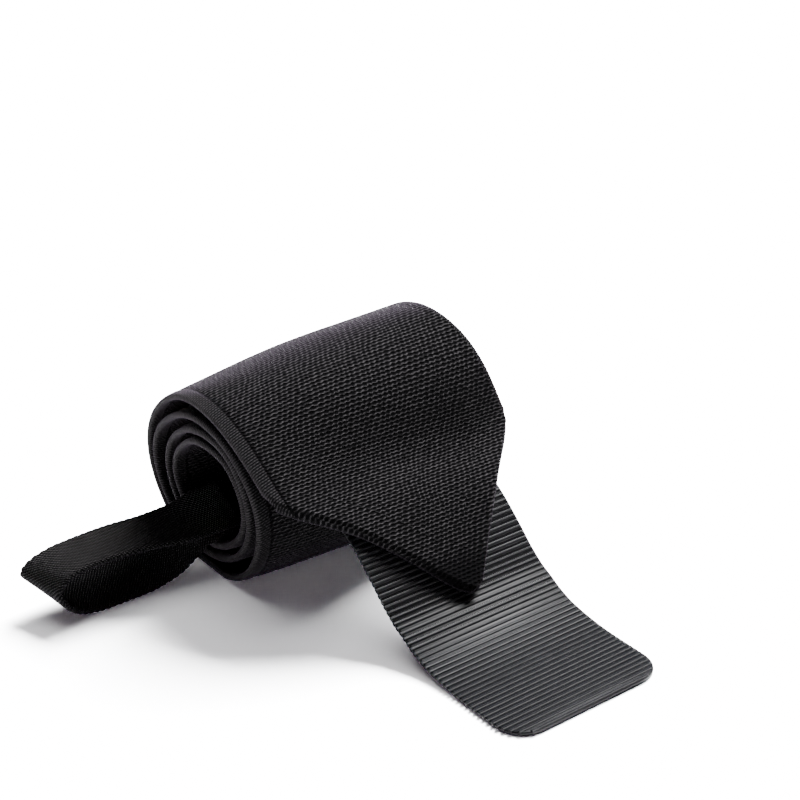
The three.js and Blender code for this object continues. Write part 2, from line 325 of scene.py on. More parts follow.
def skin(rows, count):
    """The faces between rows of count vertices each, with both ends closed."""
    faces = []
    for i in range(rows - 1):
        for j in range(count):
            a, b = i * count + j, i * count + (j + 1) % count
            faces.append((a, b, b + count, a + count))
    end = (rows - 1) * count
    faces.append(tuple(reversed(range(count))))
    faces.append(tuple(range(end, end + count)))
    return faces


def loft(name, rings, uvs):
    """A closed mesh from rings of equal length, with a UV map that holds metres of cloth."""
    mesh = bpy.data.meshes.new(name)
    mesh.from_pydata((np.concatenate(rings) * MM).tolist(), [], skin(len(rings), len(rings[0])))
    layer = mesh.uv_layers.new(name="cloth")
    corners = np.empty(len(mesh.loops), dtype=np.int32)
    mesh.loops.foreach_get("vertex_index", corners)
    uv = np.concatenate(uvs) * MM
    layer.data.foreach_set("uv", uv[corners].astype(np.float32).ravel())
    mesh.shade_smooth()
    return add_object(name, mesh)


print("a box made as a skin has", len(skin(2, 4)), "faces")

# %% [markdown]
# Elastic is woven with a smooth border, the selvedge, whose edge is round. On the near side a groove
# divides it from the field of rows, and on the far side it is narrow and almost level. Such low steps
# catch the light, so they are modelled: a table gives the height of the surface at distances from the
# edge. Handled elastic never lies perfectly even either, so a slow wave of a few tenths of a millimetre is
# added. It is a sum of sines and not noise, and so it is the same on every run.

# %% The band's mesh
SELVEDGE = 4.2
FAR_SELVEDGE = 1.6
FAR_RELIEF = 0.3
# Distance from the long edge and the height of the surface there, in mm.
RELIEF = np.array([
    [0.0, 0.0], [1.2, 0.06], [2.4, 0.10], [3.3, 0.08], [3.8, -0.02], [4.2, -0.20],
    [4.6, -0.13], [5.1, 0.0], [6.5, 0.04], [40.0, 0.0],
])
WAVE = 0.16


def band_wave(along, across):
    """A slow unevenness of the cloth in mm."""
    wave = np.sin(along / 9.3 + across / 17) + np.sin(along / 5.1 - across / 11 + 2)
    return WAVE * (wave + 0.8 * np.sin(across / 7.7 + along / 31))


def band_rings():
    """The rings of the band's mesh and their place on the flat cloth."""
    rings, uvs = [], []
    for i, share in enumerate(shares):
        thickness = BAND_THICKNESS * (FOLD_LAYERS if share > TAPER_START else 1)
        across, depth, flat = strip_section(half_width(share), thickness, band_columns).T
        t = np.clip(across / BAND_WIDTH + 0.5, 0, 1)[:, None]
        point = near_points[i] * (1 - t) + far_points[i] * t
        normal = unit(near_out[i] * (1 - t) + far_out[i] * t)
        bulge = barrels[i] * 4 * t[:, 0] * (1 - t[:, 0])
        face = 1 - 2 * depth / thickness
        relief = face * np.interp(BAND_WIDTH / 2 - np.abs(across), RELIEF[:, 0], RELIEF[:, 1])
        relief *= np.where(across > 0, FAR_RELIEF, 1)
        point = point + normal * (bulge - depth + relief + band_wave(band_along[i], across))[:, None]
        ring = np.column_stack([across, -point[:, 0], np.maximum(point[:, 1], 0)])
        rings.append(ring[::-1])
        uvs.append(np.column_stack([np.full(len(ring), band_along[i]), flat])[::-1])
    return rings, uvs


band_cloth = loft("band_cloth", *band_rings())
print("band cloth faces:", len(band_cloth.data.polygons))

# %% [markdown]
# The thumb loop is one narrow strap, folded back on itself and sewn in the core. A cloth simulation could
# let it fall, but its rest shape would then be chance. Here its middle line is a smooth curve through a
# table of measured points, and the strap turns about that line as it goes, which the tilt column says.

# %% The thumb loop's line
# Share of the loop's reach, share of the strap's width sideways, share of the sewn ends' height, tilt in
# degrees, and how far the front edge is behind the back edge as a share of the strap's width.
LOOP = np.array([
    [0.150, 0.10, 1.135, 25, 0], [0.268, 0.10, 1.080, 14, 0], [0.430, 0.01, 1.045, 6, 0],
    [0.590, -0.07, 1.055, 3, 0], [0.770, -0.09, 1.045, 1, 0.01], [0.900, -0.09, 0.995, 1, 0.06],
    [0.980, -0.09, 0.858, 2, 0.20], [1.010, -0.09, 0.673, 6, 0.25], [0.980, -0.08, 0.451, 13, 0.25],
    [0.900, -0.08, 0.288, 20, 0.14], [0.786, -0.07, 0.215, 23.5, 0.03], [0.625, -0.06, 0.213, 23.5, 0],
    [0.482, -0.04, 0.250, 23.5, 0], [0.357, 0.01, 0.429, 24, 0], [0.268, 0.04, 0.680, 24, 0],
    [0.190, 0.08, 0.920, 25, 0],
])
SEWN_TILT = 30
SEWN_ANGLE = 240
LOOP_STEPS = 22


def sewn_point(strand):
    """Where the strap is sewn in the core, for the strand that many layers away from the band."""
    inner = turn_radius(INNER_END_ANGLE, 0) - BAND_THICKNESS / 2 - CLEARANCE
    return on_roll(SEWN_ANGLE, inner - STRAP_THICKNESS / 2 - strand * (STRAP_THICKNESS + CLEARANCE))


def strap_line():
    """The strap's middle line, its tilt in radians and its lead."""
    upper, lower = sewn_point(1), sewn_point(0)
    start = -BAND_WIDTH / 2 + LOOP_ROOT_DEPTH
    floor = STRAP_THICKNESS / 2
    rows = [[start, -upper[0], upper[1], SEWN_TILT, 0]]
    for out, side, height, tilt, lead in LOOP:
        rows.append([
            start - out * LOOP_REACH,
            -(lower[0] + side * STRAP_WIDTH),
            floor + height * (lower[1] - floor),
            tilt,
            lead,
        ])
    rows.append([start, -lower[0], lower[1], SEWN_TILT, 0])
    rows = np.array(rows)
    line = smooth(rows[:, :3], LOOP_STEPS)
    turns = smooth(np.column_stack([rows[:, 3], rows[:, 4] * STRAP_WIDTH, rows[:, 0]]), LOOP_STEPS)
    return line, np.radians(turns[:, 0]), turns[:, 1] / STRAP_WIDTH


def strap_axes(line, tilts, leads):
    """The direction across the strap, the one out of its upper face, and how square the two edges are."""
    along = unit(np.gradient(line, axis=0))
    across = unit(np.column_stack([leads, -np.cos(tilts), -np.sin(tilts)]))
    out = np.cross(across, along)
    squareness = np.linalg.norm(out, axis=1)
    return across, out / squareness[:, None], squareness


strap_points, strap_tilts, strap_leads = strap_line()
strap_across, strap_out, strap_square = strap_axes(strap_points, strap_tilts, strap_leads)
strap_at = lengths(strap_points)

# %% [markdown]
# The strap's edges are faintly scalloped, because its cross yarns turn back there in small loops. A row of
# tiny picots could be modelled one by one. Letting the strap's width swing by an eighth of a millimetre,
# once for every turn of the yarn, gives the same outline with no more faces.

# %% The thumb loop's mesh
STRAP_COLUMNS = np.linspace(0.93, -0.93, 12)
PICOT = 0.13
PICOT_PITCH = 1.9

rings, uvs = [], []
for i, centre in enumerate(strap_points):
    picot = PICOT * math.sin(2 * math.pi * strap_at[i] / PICOT_PITCH)
    section = strip_section(STRAP_WIDTH / 2 + picot, STRAP_THICKNESS, STRAP_COLUMNS)
    ring = centre + np.outer(section[:, 0] / strap_square[i], strap_across[i])
    ring += np.outer(STRAP_THICKNESS / 2 - section[:, 1], strap_out[i])
    ring[:, 2] = np.maximum(ring[:, 2], 0)
    rings.append(ring)
    uvs.append(np.column_stack([np.full(len(ring), strap_at[i]), section[:, 2]]))
loop_strap = loft("loop_strap", rings, uvs)
print("strap faces:", len(loop_strap.data.polygons))

# %% [markdown]
# The hook tab is a moulded strip that runs under the folded flap and then out on to the surface. Its line
# could be bent with a curve modifier, but then its place would depend on two objects. One line of points
# carries it: along the underside of the flap, then down through a table of measured points.

# %% The tab's line
# Share of the tab's reach beyond the flap's tip and share of the tab's height at the tip.
TAB = np.array([
    [0.07, 0.78], [0.16, 0.48], [0.25, 0.27], [0.34, 0.15], [0.43, 0.07],
    [0.52, 0.02], [0.60, 0], [0.80, 0], [1.00, 0],
])
TAB_STEPS = 30
SLOPE_STEP = 0.2


def tab_line():
    """The tab's underside as (out, up): along the folded flap, then down to the surface."""
    drop = BAND_THICKNESS * FOLD_LAYERS + CLEARANCE + RIB_HEIGHT + TAB_THICKNESS
    under = (near_points - near_out * drop)[shares >= TAB_BASE]
    tip = under[-1]
    table = np.column_stack([tip[0] + TAB[:, 0] * TAB_REACH, tip[1] * TAB[:, 1]])
    return smooth(np.vstack([under[::4][:-1], tip, table]), TAB_STEPS)


tab_points = tab_line()
TAB_LENGTH = lengths(tab_points)[-1]
rib_count = round(TAB_LENGTH / RIB_PITCH)
rib_pitch = TAB_LENGTH / rib_count


def tab_half(along):
    """Half the tab's width at a distance along it, with the rounded end corners taken off."""
    inset = max(TAB_CORNER_RADIUS - (TAB_LENGTH - along), 0)
    return TAB_WIDTH / 2 - (TAB_CORNER_RADIUS - math.sqrt(max(TAB_CORNER_RADIUS**2 - inset**2, 0)))


def tab_frame(at):
    """Points on the tab's line and the directions out of its ribbed face."""
    line = resample(tab_points, at)
    ahead = resample(tab_points, np.clip(at + SLOPE_STEP, 0, TAB_LENGTH))
    behind = resample(tab_points, np.clip(at - SLOPE_STEP, 0, TAB_LENGTH))
    along = unit(ahead - behind)
    return line, np.column_stack([-along[:, 1], along[:, 0]])


print("tab:", round(TAB_LENGTH, 1), "mm with", rib_count, "ribs", round(rib_pitch, 3), "mm apart")

# %% [markdown]
# The sheet under the ribs is a plain loft with a slightly rounded edge. Ribs and sheet could be one mesh,
# but apart they stay simple and closed. On the near side the sheet is cut short of the ribs' ends by a
# third of a millimetre, since each rib of such a strip stands proud at the side, and it is a little
# thicker than the plastic between the ribs, so that the grooves look filled at the bottom.

# %% The tab's sheet
RIB_OVERHANG = 0.35
SHEET_STEPS = 90
CORNER_STEPS = 16
SHEET_LIFT = 0.02
GROOVE_FILL = 0.2

sheet_at = np.concatenate([
    np.linspace(0, TAB_LENGTH - TAB_CORNER_RADIUS, SHEET_STEPS),
    TAB_LENGTH - TAB_CORNER_RADIUS * (1 - np.sin(np.linspace(0, math.pi / 2, CORNER_STEPS)[1:])),
])
rings, uvs = [], []
for at, (out, up), normal in zip(sheet_at, *tab_frame(sheet_at)):
    half = max(tab_half(at) - RIB_OVERHANG / 2, TAB_WIDTH / 2 - TAB_CORNER_RADIUS)
    section = strip_section(half, TAB_THICKNESS + GROOVE_FILL, [])
    height = TAB_THICKNESS + GROOVE_FILL - section[:, 1] + SHEET_LIFT
    ring = np.column_stack([
        section[:, 0] + RIB_OVERHANG / 2,
        -(out + normal[0] * height),
        np.maximum(up + normal[1] * height, 0),
    ])
    rings.append(ring[::-1])
    uvs.append(np.column_stack([np.full(len(ring), at), section[:, 0]])[::-1])
tab_sheet = loft("tab_sheet", rings, uvs)
print("tab sheet faces:", len(tab_sheet.data.polygons))

# %% [markdown]
# One rib is a bar with a rounded crest and slightly drawn-in ends, as a mould leaves it. A scaled cube
# with a bevel would do, but its bevel would be scaled with it. This bar has only 29 faces, and it is one
# unit wide, so that its scale along X is the tab's width at its place.

# %% One rib
RIB_SHARE = 0.64
RIB_END = 0.5
RIB_CREST = [
    (-0.5, -0.4), (-0.5, 0.35), (-0.42, 0.74), (-0.24, 0.93), (0, 1),
    (0.24, 0.93), (0.42, 0.74), (0.5, 0.35), (0.5, -0.4),
]
# Place along the bar and how full its section is there.
RIB_STATIONS = [(-0.5, 0.8), (-0.497, 1), (0.497, 1), (0.5, 0.8)]


def rib_mesh():
    """A bar one unit long in X, with a rounded crest along it."""
    vertices = []
    for x, full in RIB_STATIONS:
        for y, z in RIB_CREST:
            vertices.append((x, RIB_SHARE * rib_pitch * MM * y * full, RIB_HEIGHT * MM * z * full))
    mesh = bpy.data.meshes.new("one_rib")
    mesh.from_pydata(vertices, [], skin(len(RIB_STATIONS), len(RIB_CREST)))
    return mesh


one_rib = bpy.data.objects.new("one_rib", rib_mesh())
print("faces of one rib:", len(one_rib.data.polygons))

# %% [markdown]
# Ribs and stitches repeat dozens of times along a line. An Array modifier would space them evenly, but
# can't change their width or turn them to a bent surface. Geometry Nodes can: each point of a mesh holds
# two directions and a size, and Axes to Rotation turns the shape so that its X follows the stored side
# direction and its Z the stored outward one. Realize Instances and Set Material end the tree.

# %% A tree that repeats a shape
TREE_INPUTS = (
    ("Points", "Geometry"), ("Shape", "Object"), ("Material", "Material"), ("Size change", "Float"),
    ("Seed", "Int"),
)


def repeat_tree():
    """Geometry Nodes that set an object on every point of a mesh of points."""
    tree = bpy.data.node_groups.new("repeat_on_points", "GeometryNodeTree")
    for label, kind in TREE_INPUTS:
        tree.interface.new_socket(label, in_out="INPUT", socket_type="NodeSocket" + kind)
    tree.interface.new_socket("Mesh", in_out="OUTPUT", socket_type="NodeSocketGeometry")
    nodes = tree.nodes
    given = nodes.new("NodeGroupInput")
    result = nodes.new("NodeGroupOutput")
    shape = nodes.new("GeometryNodeObjectInfo")
    spots = nodes.new("GeometryNodeMeshToPoints")
    put = nodes.new("GeometryNodeInstanceOnPoints")
    turn = nodes.new("FunctionNodeAxesToRotation")
    turn.primary_axis = "Z"
    turn.secondary_axis = "X"
    stored = {}
    for name in ("outward", "sideways", "size"):
        stored[name] = nodes.new("GeometryNodeInputNamedAttribute")
        stored[name].data_type = "FLOAT_VECTOR"
        stored[name].inputs["Name"].default_value = name
    change = nodes.new("FunctionNodeRandomValue")
    change.data_type = "FLOAT"
    change.inputs[3].default_value = 1.0
    lowest = nodes.new("ShaderNodeMath")
    lowest.operation = "SUBTRACT"
    lowest.inputs[0].default_value = 1.0
    scale = nodes.new("ShaderNodeVectorMath")
    scale.operation = "SCALE"
    real = nodes.new("GeometryNodeRealizeInstances")
    paint = nodes.new("GeometryNodeSetMaterial")
    for source, output, target, entry in (
        (given, "Points", spots, "Mesh"),
        (given, "Shape", shape, "Object"),
        (spots, "Points", put, "Points"),
        (shape, "Geometry", put, "Instance"),
        (stored["outward"], "Attribute", turn, "Primary Axis"),
        (stored["sideways"], "Attribute", turn, "Secondary Axis"),
        (turn, "Rotation", put, "Rotation"),
        (given, "Size change", lowest, 1),
        (lowest, 0, change, 2),
        (given, "Seed", change, "Seed"),
        (stored["size"], "Attribute", scale, 0),
        (change, 1, scale, "Scale"),
        (scale, "Vector", put, "Scale"),
        (put, "Instances", real, "Geometry"),
        (real, "Geometry", paint, "Geometry"),
        (given, "Material", paint, "Material"),
        (paint, "Geometry", result, "Mesh"),
    ):
        tree.links.new(source.outputs[output], target.inputs[entry])
    return tree


repeat_on_points = repeat_tree()
print("repeating tree:", len(repeat_on_points.nodes), "nodes")

# %% [markdown]
# To use the tree, a mesh of bare points gets the two directions and the size as attributes, and a modifier
# with this piece's own values. The live modifier could stay, but the export drops instances and bodies
# need plain meshes, so the result is copied out as a mesh of its own and the modifier is removed.

# %% Using the tree
def repeated(name, spots, sideways, outwards, sizes, shape, material, change, seed):
    """A plain mesh piece with one shape on each spot, made by the tree above. Spots are in metres."""
    mesh = bpy.data.meshes.new(name + "_spots")
    mesh.from_pydata(np.asarray(spots).tolist(), [], [])
    for key, rows in (("sideways", sideways), ("outward", outwards), ("size", sizes)):
        layer = mesh.attributes.new(key, "FLOAT_VECTOR", "POINT")
        layer.data.foreach_set("vector", np.asarray(rows, dtype=np.float32).ravel())
    holder = add_object(name + "_spots", mesh)
    modifier = holder.modifiers.new("repeat", "NODES")
    modifier.node_group = repeat_on_points
    values = {"Shape": shape, "Material": material, "Size change": change, "Seed": seed}
    for socket in repeat_on_points.interface.items_tree:
        if socket.name in values and socket.in_out == "INPUT":
            modifier[socket.identifier] = values[socket.name]
    bpy.context.view_layer.update()
    depsgraph = bpy.context.evaluated_depsgraph_get()
    made = bpy.data.meshes.new_from_object(holder.evaluated_get(depsgraph))
    made.name = name
    holder.modifiers.clear()
    bpy.data.objects.remove(holder)
    print(name, "has", len(spots), "shapes and", len(made.polygons), "faces")
    return add_object(name, made)


print("values set by the socket's identifier:", [label for label, _ in TREE_INPUTS[1:]])

# %% [markdown]
# Colours and patterns come next. A shader tree could be drawn by hand in the node editor, but then nobody
# could read it here. Trees written in code grow long, so small helpers make one node in one line each.
# They take numbers or sockets and give back the socket of the answer.

# %% Short helpers for shader nodes
def fill(tree, sockets, values):
    """Give each socket its number, or the link that feeds it."""
    for socket, value in zip(sockets, values):
        if isinstance(value, (int, float)):
            socket.default_value = value
        else:
            tree.links.new(value, socket)


def math_in(tree, operation, *values):
    """One Math node. Each value is a number or a socket."""
    node = tree.nodes.new("ShaderNodeMath")
    node.operation = operation
    fill(tree, node.inputs, values)
    return node.outputs[0]


def mix_in(tree, factor, first, second):
    """A value that goes from first to second."""
    node = tree.nodes.new("ShaderNodeMix")
    node.data_type = "FLOAT"
    fill(tree, (node.inputs[0], node.inputs[2], node.inputs[3]), (factor, first, second))
    return node.outputs[0]


def step_in(tree, value, low, high):
    """A smooth step of a value: 0 below low and 1 above high."""
    node = tree.nodes.new("ShaderNodeMapRange")
    node.interpolation_type = "SMOOTHSTEP"
    node.inputs["From Min"].default_value = low
    node.inputs["From Max"].default_value = high
    tree.links.new(value, node.inputs["Value"])
    return node.outputs["Result"]


def wave_in(tree, turns):
    """A wave from 0 to 1, with a crest at each whole number of turns."""
    wave = math_in(tree, "COSINE", math_in(tree, "MULTIPLY", turns, 2 * math.pi))
    return math_in(tree, "MULTIPLY_ADD", wave, 0.5, 0.5)


print("helpers ready for sums, mixes, steps and waves")

# %% [markdown]
# Patterns need a few helpers more. Noise textures give chance that is the same on every run, a colour ramp
# turns a number into a colour, and a bump turns one into relief. An effect that more than one material
# uses is a node group with named inputs, built once, which the last helper starts.

# %% Helpers for patterns and groups
def noise_in(tree, vector, scale, detail=3.0, roughness=0.55):
    """A noise texture's value."""
    node = tree.nodes.new("ShaderNodeTexNoise")
    node.inputs["Scale"].default_value = scale
    node.inputs["Detail"].default_value = detail
    node.inputs["Roughness"].default_value = roughness
    tree.links.new(vector, node.inputs["Vector"])
    return node.outputs[0]


def centred_in(tree, vector, scale, detail=3.0, roughness=0.55):
    """A noise texture's value, moved to lie on both sides of zero."""
    return math_in(tree, "SUBTRACT", noise_in(tree, vector, scale, detail, roughness), 0.5)


def split_in(tree, vector):
    """The parts of a vector: along the cloth and across it."""
    node = tree.nodes.new("ShaderNodeSeparateXYZ")
    tree.links.new(vector, node.inputs[0])
    return node.outputs[0], node.outputs[1]


def ramp_in(tree, value, stops):
    """A colour ramp with (position, colour) stops."""
    node = tree.nodes.new("ShaderNodeValToRGB")
    ramp = node.color_ramp
    while len(ramp.elements) < len(stops):
        ramp.elements.new(0.5)
    for element, (position, colour) in zip(ramp.elements, stops):
        element.position = position
        element.color = (*colour, 1)
    tree.links.new(value, node.inputs["Fac"])
    return node.outputs["Color"]


def bump_in(tree, height, strength, distance, shader):
    """A bump of a height on a shader. The distance is in metres."""
    node = tree.nodes.new("ShaderNodeBump")
    node.inputs["Strength"].default_value = strength
    node.inputs["Distance"].default_value = distance
    tree.links.new(height, node.inputs["Height"])
    tree.links.new(node.outputs["Normal"], shader.inputs["Normal"])


def group_with(name, inputs, outputs):
    """A new shader node group with float or vector inputs and float outputs."""
    tree = bpy.data.node_groups.new(name, "ShaderNodeTree")
    for label, value in inputs:
        kind = "NodeSocketVector" if value is None else "NodeSocketFloat"
        socket = tree.interface.new_socket(label, in_out="INPUT", socket_type=kind)
        if value is not None:
            socket.default_value = value
    for label in outputs:
        tree.interface.new_socket(label, in_out="OUTPUT", socket_type="NodeSocketFloat")
    return tree, tree.nodes.new("NodeGroupInput").outputs, tree.nodes.new("NodeGroupOutput").inputs


print("helpers ready for noise, colour, bump and groups")

# %% [markdown]
# The band's field is woven in rows across its width: thick elastic cords covered with yarn. Each row is a
# low wave, and yarn crosses it every two millimetres or so, which breaks the row into pebbles. Modelling
# each pebble would take millions of faces. Two cosines and a shift from row to row draw them instead, and
# a little noise keeps them from looking printed. The group gives out a height and a tone.

# %% Weave of the band
def pebbled_rows():
    """Rows of pebbles. The cloth's coordinates are metres along and across it."""
    tree, given, result = group_with(
        "pebbled_rows",
        [("Cloth", None), ("Row pitch", 0.001), ("Pebble pitch", 0.0017), ("Wave", 0.1), ("Shift", 0.4)],
        ["Height", "Tone"],
    )
    length, width = split_in(tree, given["Cloth"])
    wander = math_in(tree, "MULTIPLY", centred_in(tree, given["Cloth"], 420, 2), 0.9)
    slow = math_in(tree, "MULTIPLY", centred_in(tree, given["Cloth"], 70, 2), 3.0)
    row = math_in(tree, "DIVIDE", length, given["Row pitch"])
    row = math_in(tree, "ADD", row, math_in(tree, "MULTIPLY", wander, 0.4))
    turn = math_in(tree, "MULTIPLY", math_in(tree, "ROUND", row), given["Shift"])
    across = math_in(tree, "DIVIDE", width, given["Pebble pitch"])
    across = math_in(tree, "ADD", math_in(tree, "ADD", across, slow), turn)
    wave = math_in(tree, "SINE", math_in(tree, "MULTIPLY", across, 2 * math.pi))
    wave = math_in(tree, "MULTIPLY", wave, given["Wave"])
    ridge = wave_in(tree, math_in(tree, "ADD", row, wave))
    pebble = wave_in(tree, math_in(tree, "ADD", across, wander))
    body = math_in(tree, "POWER", ridge, 0.7)
    high = math_in(tree, "MULTIPLY", body, math_in(tree, "MULTIPLY_ADD", pebble, 0.16, 0.84))
    uneven = math_in(tree, "MULTIPLY_ADD", noise_in(tree, given["Cloth"], 800, 2, 0.7), 2.4, -0.2)
    tone = math_in(tree, "MULTIPLY", math_in(tree, "POWER", high, 2.2), uneven)
    tree.links.new(high, result["Height"])
    tree.links.new(tone, result["Tone"])
    return tree


PEBBLES = pebbled_rows()
print("weave of the band:", len(PEBBLES.nodes), "nodes")

# %% [markdown]
# The strap and the band's borders are a much finer weave, a twill, whose yarns make thin slanting ribs. A
# wave texture could draw straight ribs, but not the short yarns that step from rib to rib. Both materials
# use this one group with their own pitch and slant.

# %% Fine ribs of the strap and the borders
def fine_ribs():
    """Thin ribs. Slant is how far they run across the cloth for each metre along it."""
    tree, given, result = group_with(
        "fine_ribs",
        [("Cloth", None), ("Pitch", 0.0007), ("Slant", 1.0), ("Yarn pitch", 0.0008)],
        ["Height", "Tone"],
    )
    length, width = split_in(tree, given["Cloth"])
    wander = centred_in(tree, given["Cloth"], 600, 2)
    lean = math_in(tree, "MULTIPLY", width, given["Slant"])
    rib = math_in(tree, "DIVIDE", math_in(tree, "ADD", length, lean), given["Pitch"])
    rib = math_in(tree, "ADD", rib, math_in(tree, "MULTIPLY", wander, 0.4))
    yarn = math_in(tree, "DIVIDE", width, given["Yarn pitch"])
    yarn = math_in(tree, "ADD", yarn, math_in(tree, "MULTIPLY", math_in(tree, "ROUND", rib), 0.5))
    yarn = math_in(tree, "COSINE", math_in(tree, "MULTIPLY", yarn, 2 * math.pi))
    yarn = math_in(tree, "MULTIPLY_ADD", yarn, 0.2, 0.8)
    high = math_in(tree, "MULTIPLY", math_in(tree, "POWER", wave_in(tree, rib), 0.8), yarn)
    tree.links.new(high, result["Height"])
    tree.links.new(math_in(tree, "POWER", high, 1.4), result["Tone"])
    return tree


RIBS = fine_ribs()
print("fine ribs:", len(RIBS.nodes), "nodes")

# %% [markdown]
# Black cloth is never one black. Fibre ends scatter light in fine specks, and handling leaves slow changes
# from place to place. A photograph of dust could be laid over it, but two noise textures do the same at
# any size. The lint group gives both as a number round one.

# %% Lint and slow changes of tone
def lint():
    """Fine specks and slow changes, as a factor near 1 for colours and a height for the bump."""
    tree, given, result = group_with("lint", [("Cloth", None), ("Specks", 0.6)], ["Factor", "Height"])
    specks = centred_in(tree, given["Cloth"], 5200, 2, 0.7)
    slow = centred_in(tree, given["Cloth"], 55, 3)
    factor = math_in(tree, "MULTIPLY_ADD", specks, given["Specks"], 1.0)
    factor = math_in(tree, "ADD", factor, math_in(tree, "MULTIPLY", slow, 0.35))
    tree.links.new(factor, result["Factor"])
    tree.links.new(specks, result["Height"])
    return tree


LINT = lint()
print("lint:", len(LINT.nodes), "nodes")

# %% [markdown]
# A cloth material is put together from these groups. Very dark colours follow the tone, the gloss is kept
# low, and one bump has the real height of the weave. Seen edge on, the fibres that stand up from black
# cloth catch the light and look purple grey. Sheen alone gave too even a veil, so Layer Weight also mixes
# a purple grey painted sheen into the base colour where the cloth turns away, as a painted highlight.
# Layer Weight stays in the material, outside any group.

# %% What every cloth shares
# Colour of the painted sheen, a painted highlight, and the facing values where it starts and where it is
# full.
PAINTED_SHEEN = (0.0075, 0.0062, 0.008)
PAINTED_SHEEN_FACING = (0.46, 0.86)


def material_with(name):
    """A new material, its node tree and its shader."""
    material = bpy.data.materials.new(name)
    material.use_nodes = True
    return material, material.node_tree, material.node_tree.nodes["Principled BSDF"]


def cloth_map(tree):
    """The cloth's own UV map."""
    uv = tree.nodes.new("ShaderNodeUVMap")
    uv.uv_map = "cloth"
    return uv.outputs["UV"]


def use_group(tree, group, cloth, **values):
    """The outputs of a node group placed in a material, with its own values."""
    node = tree.nodes.new("ShaderNodeGroup")
    node.node_tree = group
    tree.links.new(cloth, node.inputs["Cloth"])
    for label, value in values.items():
        node.inputs[label.replace("_", " ")].default_value = value
    return node.outputs


def finish_cloth(tree, shader, tone, height, lift, colours):
    """Colour with a painted sheen where the cloth turns away, roughness, sheen and bump of a cloth. lift is
    the height of the weave in metres.
    """
    low, middle, high = colours
    # Painted sheen: a purple grey painted highlight mixed into the base colour where the face turns away
    # from the view.
    edge_on = tree.nodes.new("ShaderNodeLayerWeight")
    edge_on.inputs["Blend"].default_value = 0.5
    painted_sheen = step_in(tree, edge_on.outputs["Facing"], *PAINTED_SHEEN_FACING)
    painted_sheen = math_in(tree, "MULTIPLY", painted_sheen, math_in(tree, "MULTIPLY_ADD", tone, 0.5, 0.6))
    blend = tree.nodes.new("ShaderNodeMix")
    blend.data_type = "RGBA"
    blend.inputs[7].default_value = (*PAINTED_SHEEN, 1)
    tree.links.new(painted_sheen, blend.inputs[0])
    tree.links.new(ramp_in(tree, tone, [(0.0, low), (0.45, middle), (1.0, high)]), blend.inputs[6])
    tree.links.new(blend.outputs[2], shader.inputs["Base Color"])
    shader.inputs["Roughness"].default_value = 0.9
    shader.inputs["Specular IOR Level"].default_value = 0.008
    shader.inputs["Sheen Weight"].default_value = 0.004
    shader.inputs["Sheen Roughness"].default_value = 0.45
    shader.inputs["Sheen Tint"].default_value = (0.86, 0.80, 0.90, 1)
    bump_in(tree, height, 1.0, lift, shader)


print("fuzz starts where a face is turned by", PAINTED_SHEEN_FACING[0], "and is full at", PAINTED_SHEEN_FACING[1])

# %% [markdown]
# The band has pebbled rows in its field and fine ribs on its two borders. Along the near border the groove
# is painted dark, as painted shade, and the rounded rim of both edges is painted lighter, as a painted
# highlight. Separate materials could be set on separate faces, but the change would then follow the faces
# and look cut. Reading the distance from the edge in the UV map gives soft changes anywhere. Round the tip
# the folded cloth is painted darker, as painted shade.

# %% Elastic cloth
ELASTIC_COLOURS = ((0.0001, 0.0001, 0.00012), (0.0008, 0.00076, 0.0008), (0.0080, 0.0075, 0.0079))
ELASTIC_LIFT = 0.00055
# How far from the tip, in mm, the cloth is painted darker as painted shade.
TIP_SHADE_REACH = 13
# Width in mm of the painted highlight along the rounded edges.
RIM_HIGHLIGHT_WIDTH = 1.3
# Where the border's weave fades in about the groove and the painted shade in the groove fades out beside it,
# in metres.
BORDER_FADE = (-0.0002, 0.0004)
GROOVE_SHADE_FADE = (0.0001, 0.0006)


